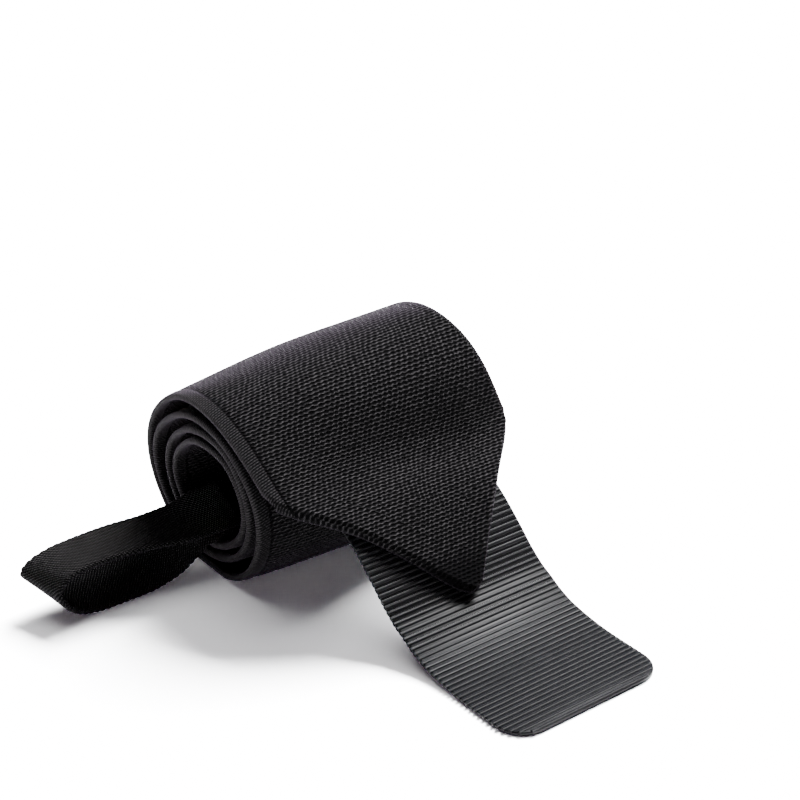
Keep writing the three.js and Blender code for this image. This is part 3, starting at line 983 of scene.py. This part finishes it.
def elastic_material():
    """The band: pebbled rows in the field, fine ribs on the two borders."""
    material, tree, shader = material_with("elastic_cloth")
    cloth = cloth_map(tree)
    rows = use_group(tree, PEBBLES, cloth, Row_pitch=0.00107, Pebble_pitch=0.00175, Wave=0.125, Shift=0.41)
    edge = use_group(tree, RIBS, cloth, Pitch=0.00075, Slant=0.25, Yarn_pitch=0.0011)
    dust = use_group(tree, LINT, cloth, Specks=0.7)
    length, width = split_in(tree, cloth)
    away = math_in(tree, "ABSOLUTE", width)
    near = math_in(tree, "MULTIPLY", width, -1)
    groove = (BAND_WIDTH / 2 - SELVEDGE) * MM
    far_groove = (BAND_WIDTH / 2 - FAR_SELVEDGE) * MM
    border = math_in(
        tree, "MAXIMUM",
        step_in(tree, near, *(groove + fade for fade in BORDER_FADE)),
        step_in(tree, away, *(far_groove + fade for fade in BORDER_FADE)),
    )
    high = mix_in(tree, border, rows["Height"], math_in(tree, "MULTIPLY", edge["Height"], 0.35))
    high = math_in(tree, "ADD", high, math_in(tree, "MULTIPLY", dust["Height"], 0.15))
    tone = mix_in(tree, border, rows["Tone"], math_in(tree, "MULTIPLY_ADD", edge["Tone"], 0.85, 0.16))
    # Painted highlight: the rounded rim of both edges is painted lighter.
    rim = step_in(tree, away, (BAND_WIDTH / 2 - RIM_HIGHLIGHT_WIDTH) * MM, (BAND_WIDTH / 2 + 0.1) * MM)
    rim = math_in(tree, "MULTIPLY", rim, math_in(tree, "MULTIPLY_ADD", edge["Tone"], 1.1, 0.35))
    tone = math_in(tree, "ADD", tone, rim)
    # Painted shade: the groove beside the near border is painted dark.
    beside = math_in(tree, "ABSOLUTE", math_in(tree, "SUBTRACT", near, groove))
    tone = math_in(tree, "MULTIPLY", tone, step_in(tree, beside, *GROOVE_SHADE_FADE))
    # Painted shade: the last millimetres towards the tip are painted darker.
    tip = step_in(tree, length, (BAND_LENGTH - TIP_SHADE_REACH) * MM, (BAND_LENGTH - 2) * MM)
    tone = math_in(tree, "MULTIPLY", tone, math_in(tree, "MULTIPLY_ADD", tip, -0.7, 1.0))
    tone = math_in(tree, "MULTIPLY", tone, dust["Factor"])
    finish_cloth(tree, shader, tone, high, ELASTIC_LIFT, ELASTIC_COLOURS)
    return material


elastic_cloth = elastic_material()
band_cloth.data.materials.append(elastic_cloth)
print("elastic cloth:", len(elastic_cloth.node_tree.nodes), "nodes")

# %% [markdown]
# The strap is all one fine twill, so its material is short: the ribs' tone and height, broken by lint. It
# could share the band's material, but it is a little lighter and has no borders, and a material of its own
# says so.

# %% Strap cloth
STRAP_COLOURS = ((0.0001, 0.0001, 0.00012), (0.0011, 0.00105, 0.0011), (0.0125, 0.012, 0.0122))
STRAP_LIFT = 0.0005


def strap_material():
    """The thumb loop: a fine twill."""
    material, tree, shader = material_with("strap_cloth")
    cloth = cloth_map(tree)
    rows = use_group(tree, RIBS, cloth, Pitch=0.00085, Slant=0.8, Yarn_pitch=0.0006)
    dust = use_group(tree, LINT, cloth, Specks=0.7)
    tone = math_in(tree, "MULTIPLY", rows["Tone"], dust["Factor"])
    high = math_in(tree, "ADD", rows["Height"], math_in(tree, "MULTIPLY", dust["Height"], 0.2))
    finish_cloth(tree, shader, tone, high, STRAP_LIFT, STRAP_COLOURS)
    return material


strap_cloth = strap_material()
loop_strap.data.materials.append(strap_cloth)
print("strap cloth:", len(strap_cloth.node_tree.nodes), "nodes")

# %% [markdown]
# The tab is moulded plastic, dark grey with a satin shine. Its highlight comes from the lamps and the
# ribs' own shape. An even roughness would look like new glass, so fine streaks along the ribs, from the
# mould and from wear, break it up. They are one noise texture, squeezed along X by a Mapping node.

# %% Plastic of the tab
PLASTIC_COLOURS = ((0.0009, 0.0009, 0.00105), (0.0016, 0.0016, 0.0019))


def plastic_material():
    """Dark satin plastic with fine streaks along the ribs."""
    material, tree, shader = material_with("hook_plastic")
    place = tree.nodes.new("ShaderNodeTexCoord").outputs["Object"]
    stretch = tree.nodes.new("ShaderNodeMapping")
    stretch.inputs["Scale"].default_value = (0.06, 1.0, 1.0)
    tree.links.new(place, stretch.inputs["Vector"])
    streaks = noise_in(tree, stretch.outputs["Vector"], 2600, 3, 0.6)
    slow = noise_in(tree, place, 60, 2)
    colour = ramp_in(tree, streaks, list(zip((0.3, 0.7), PLASTIC_COLOURS)))
    tree.links.new(colour, shader.inputs["Base Color"])
    rough = math_in(tree, "MULTIPLY_ADD", streaks, 0.05, 0.26)
    rough = math_in(tree, "ADD", rough, math_in(tree, "MULTIPLY", slow, 0.08))
    tree.links.new(rough, shader.inputs["Roughness"])
    shader.inputs["Specular IOR Level"].default_value = 0.05
    bump_in(tree, streaks, 0.04, 0.00005, shader)
    return material


hook_plastic = plastic_material()
tab_sheet.data.materials.append(hook_plastic)
print("hook plastic:", len(hook_plastic.node_tree.nodes), "nodes")

# %% [markdown]
# The ribs are set along the tab's line with the tree from above. They could be pushed out of the sheet's
# own faces, but then their undersides would leave holes in it. A rib hangs over the sheet's near edge by a
# third of a millimetre and stops half a millimetre short of the far one, as the moulded strip's do.

# %% Ribs of the tab
RIB_START = 0.55
LAST_RIB_MARGIN = 0.4

rib_at = (np.arange(rib_count) + RIB_START) * rib_pitch
line, normal = tab_frame(rib_at)
lifted = line + normal * (TAB_THICKNESS + SHEET_LIFT)
spots = np.column_stack([np.full(rib_count, -RIB_END / 2), -lifted[:, 0], lifted[:, 1]])
side = np.tile([1.0, 0.0, 0.0], (rib_count, 1))
out = np.column_stack([np.zeros(rib_count), -normal[:, 0], normal[:, 1]])
rib_front = np.minimum(rib_at + 0.3 * rib_pitch, TAB_LENGTH - LAST_RIB_MARGIN)
wide = [(2 * tab_half(at) - RIB_END) * MM for at in rib_front]
size = np.column_stack([wide, np.ones(rib_count), np.ones(rib_count)])
tab_ribs = repeated("tab_ribs", spots * MM, side, out, size, one_rib, hook_plastic, 0.0, 7)

# %% [markdown]
# The folded corners are held by seams, and the strap by a bar tack. A curve with a round bevel could run
# as one thread, but a seam shows only the short backs of its stitches, which sink into the weave at both
# ends. So one stitch is a short thread of six sides, drawn down and thinner at its ends.

# %% One stitch
STITCH_LENGTH = 1.5
STITCH_RADIUS = 0.2
STITCH_SIDES = 6
# Place along the stitch, its thickness there and how far it stands up, as shares of the sizes above.
STITCH_STATIONS = ((-0.5, 0.35, -0.9), (-0.32, 0.9, 0.1), (0, 1, 0.35), (0.32, 0.9, 0.1), (0.5, 0.35, -0.9))


def stitch_mesh():
    """One stitch: a short thread with pointed, sunken ends."""
    vertices = []
    for x, thick, up in STITCH_STATIONS:
        for j in range(STITCH_SIDES):
            turn = 2 * math.pi * j / STITCH_SIDES
            vertices.append((
                x * STITCH_LENGTH * MM,
                thick * STITCH_RADIUS * MM * math.cos(turn),
                STITCH_RADIUS * MM * (up + thick * math.sin(turn)),
            ))
    mesh = bpy.data.meshes.new("one_stitch")
    mesh.from_pydata(vertices, [], skin(len(STITCH_STATIONS), STITCH_SIDES))
    mesh.shade_smooth()
    return mesh


one_stitch = bpy.data.objects.new("one_stitch", stitch_mesh())
print("faces of one stitch:", len(one_stitch.data.polygons))

# %% [markdown]
# Sewing thread is black polyester, a little shinier than the cloth round it. A twisted bump could show its
# plies, but they are finer than anything seen here. A fine noise between two dark greys is enough.

# %% Black thread
THREAD_COLOURS = ((0.0006, 0.0006, 0.0007), (0.003, 0.0029, 0.0031))


def thread_material():
    """Black polyester thread with a slight shine."""
    material, tree, shader = material_with("black_thread")
    place = tree.nodes.new("ShaderNodeTexCoord").outputs["Object"]
    colour = ramp_in(tree, noise_in(tree, place, 4000, 2), list(zip((0.3, 0.7), THREAD_COLOURS)))
    tree.links.new(colour, shader.inputs["Base Color"])
    shader.inputs["Roughness"].default_value = 0.6
    shader.inputs["Specular IOR Level"].default_value = 0.03
    return material


black_thread = thread_material()
print("thread material:", black_thread.name)

# %% [markdown]
# Two seams run parallel to the folded edges. Their stitches could be dropped on the flap with a Shrinkwrap
# modifier. Here a seam is a list of places on the flat cloth, and looking each place up on the band's
# outer face gives the point and the outward direction there, so the seam follows the flap's bend exactly.

# %% Places on the flap
def on_flap(out_share, across):
    """A point in mm on the flap's outer face and the outward direction there."""
    t = across / BAND_WIDTH + 0.5
    stations = np.arange(len(shares))
    k = np.interp(out_share, shares[leave_index:], stations[leave_index:])
    face = near_points * (1 - t) + far_points * t
    out = near_out * (1 - t) + far_out * t
    place = [np.interp(k, stations, face[:, c]) for c in (0, 1)]
    normal = [np.interp(k, stations, out[:, c]) for c in (0, 1)]
    lift = band_wave(np.interp(k, stations, band_along), across)
    return (
        np.array([across, -(place[0] + normal[0] * lift), place[1] + normal[1] * lift]),
        np.array([0, -normal[0], normal[1]]),
    )


def seam_places(path, pitch):
    """Points, directions and outward directions of stitches along a path of (share, across) places."""
    along = lengths(np.array([on_flap(*place)[0] for place in path]))
    at = np.arange(pitch / 2, along[-1], pitch)
    shares_at = np.interp(at, along, [place[0] for place in path])
    across_at = np.interp(at, along, [place[1] for place in path])
    points, outs = zip(*[on_flap(s, a) for s, a in zip(shares_at, across_at)])
    return np.array(points), unit(np.gradient(np.array(points), axis=0)), np.array(outs)


print("height of the flap's middle in mm:", [round(on_flap(share, 0)[0][2], 1) for share in (0, 1)])

# %% [markdown]
# Each seam keeps the same distance from its folded edge, so its places come from the width of the band at
# each share of the flap. Both seams are made at once as one piece of thread, with sizes that differ by up
# to a fifth from stitch to stitch, as hand-guided stitches do. The seed is fixed.

# %% Seams on the flap
STITCH_PITCH = 2.4
SEAM_INSET = 11
SEAM_SHARES = np.linspace(0.16, 0.70, 30)

seams = []
for side_of in (-1, 1):
    path = [(share, side_of * max(half_width(share) - SEAM_INSET, 0)) for share in SEAM_SHARES]
    seams.append(seam_places(path, STITCH_PITCH))
points, directions, outs = (np.concatenate([part[k] for part in seams]) for k in range(3))
sizes = np.ones((len(points), 3))
flap_stitches = repeated(
    "flap_stitches", points * MM, directions, outs, sizes, one_stitch, black_thread, 0.2, 11,
)

# %% [markdown]
# The strap's two ends are sewn to the band's inner end by a bar tack: a few close rows of stitches across
# the strap. A small dark box would read the same from afar, but not up close. The places come from the
# strap's own middle line and directions, and the same tree sets the same stitch on them.

# %% Bar tack of the strap
TACK_ROWS = (3.6, 4.8, 6.0)
TACK_PITCH = 1.8
TACK_MARGIN = 2.2

tack_across = np.arange(TACK_MARGIN - STRAP_WIDTH / 2, STRAP_WIDTH / 2 - TACK_MARGIN, TACK_PITCH)
points, directions, outs = [], [], []
for at in TACK_ROWS:
    i = int(np.argmin(np.abs(strap_at - at)))
    for across in tack_across:
        points.append(strap_points[i] + strap_across[i] * across + strap_out[i] * STRAP_THICKNESS / 2)
        directions.append(strap_across[i])
        outs.append(strap_out[i])
sizes = np.ones((len(points), 3))
loop_stitches = repeated(
    "loop_stitches", np.array(points) * MM, directions, outs, sizes, one_stitch, black_thread, 0.25, 5,
)

# %% [markdown]
# The photographed wrap lies on a plain white surface. A curved backdrop is common in a studio, but this
# view looks down, so one large flat floor fills the picture. It is a little off white, since the light
# brings it up to white.

# %% Floor
FLOOR_REACH = 3.0


def white_floor():
    """A plain pale floor."""
    mesh = bpy.data.meshes.new("floor")
    corners = [(FLOOR_REACH * x, FLOOR_REACH * y, 0) for x, y in ((-1, -1), (1, -1), (1, 1), (-1, 1))]
    mesh.from_pydata(corners, [], [(0, 1, 2, 3)])
    material, _, shader = material_with("white_floor")
    shader.inputs["Base Color"].default_value = (0.86, 0.86, 0.875, 1)
    shader.inputs["Roughness"].default_value = 0.9
    shader.inputs["Specular IOR Level"].default_value = 0.1
    mesh.materials.append(material)
    return add_object("floor", mesh)


white_floor()
print("floor:", 2 * FLOOR_REACH, "m square")

# %% [markdown]
# In the photo a large lamp high on the right, behind the wrap, throws a soft shadow towards the lower left,
# and weaker lamps fill the top and the front. A studio picture alone could light it, but not with shadows
# in the right places. A glint lamp that only shows in reflections puts the shine on the tab, and the other
# lamps are kept out of reflections, so that shine and brightness can be set apart.

# %% Lamps and sky
LAMP_TARGET = Vector((0, -0.02, 0.02))
# Name, place, size in metres, power in watts, whether it lights surfaces and whether it is reflected.
LAMPS = (
    ("key_lamp", (2.25, 1.2, 2.35), 1.8, 4700, True, False),
    ("top_lamp", (0.2, 0.9, 3.0), 2.4, 110, True, False),
    ("glint_lamp", (1.63, 0.2, 2.5), 1.1, 440, False, True),
    ("front_lamp", (-2.7, -1.6, 0.28), 0.5, 95, True, False),
)

for name, place, size, watts, lights, reflected in LAMPS:
    data = bpy.data.lights.new(name, "AREA")
    data.size = size
    data.energy = watts
    lamp = add_object(name, data)
    lamp.location = place
    lamp.rotation_euler = (LAMP_TARGET - Vector(place)).to_track_quat("-Z", "Y").to_euler()
    lamp.visible_diffuse = lights
    lamp.visible_glossy = reflected

world = bpy.data.worlds.new("studio")
bpy.context.scene.world = world
world.use_nodes = True
world.node_tree.nodes["Background"].inputs["Color"].default_value = (0.92, 0.62, 1.0, 1)
world.node_tree.nodes["Background"].inputs["Strength"].default_value = 0.06
print("lamps:", [row[0] for row in LAMPS])

# %% [markdown]
# The camera's place, direction and lens were fitted to the photograph, with the tab's straight edges, the
# roll's end face and the floor as guides. An empty to look at would aim it too, but three directions as
# the columns of a matrix say exactly where it looks, with nothing else in the scene.

# %% Camera
CAMERA_PLACE = (-0.26298, -0.37691, 0.269281)
CAMERA_DOWN = math.radians(26.53)
CAMERA_AHEAD = (0.60736, 0.79443)
LENS = 83.25
SENSOR = 36

camera_data = bpy.data.cameras.new("camera")
camera_data.lens = LENS
camera_data.sensor_width = SENSOR
camera = add_object("camera", camera_data)
ahead = Vector((
    CAMERA_AHEAD[0] * math.cos(CAMERA_DOWN),
    CAMERA_AHEAD[1] * math.cos(CAMERA_DOWN),
    -math.sin(CAMERA_DOWN),
))
right = Vector((CAMERA_AHEAD[1], -CAMERA_AHEAD[0], 0))
turned = Matrix((right, right.cross(ahead), -ahead)).transposed().to_4x4()
camera.matrix_world = Matrix.Translation(CAMERA_PLACE) @ turned
bpy.context.scene.camera = camera
print("camera looks down by", round(math.degrees(CAMERA_DOWN), 2), "degrees")

# %% [markdown]
# Each piece is now tied to the part: it is set under the empty of the body that it moves with, and the
# name of the finish that it stands for is printed. The CAD solids that these pieces stand in for are hidden.

# %% Tie the pieces to the part
for piece, slot in (
    (band_cloth, "elastic_cloth"),
    (flap_stitches, "elastic_cloth"),
    (loop_strap, "strap_cloth"),
    (loop_stitches, "strap_cloth"),
    (tab_sheet, "hook_plastic"),
    (tab_ribs, "hook_plastic"),
):
    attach(piece, "root")
    print(piece.name, "takes the finish of", slot)
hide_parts("elastic_band")
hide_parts("thumb_loop")
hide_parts("hook_tab")
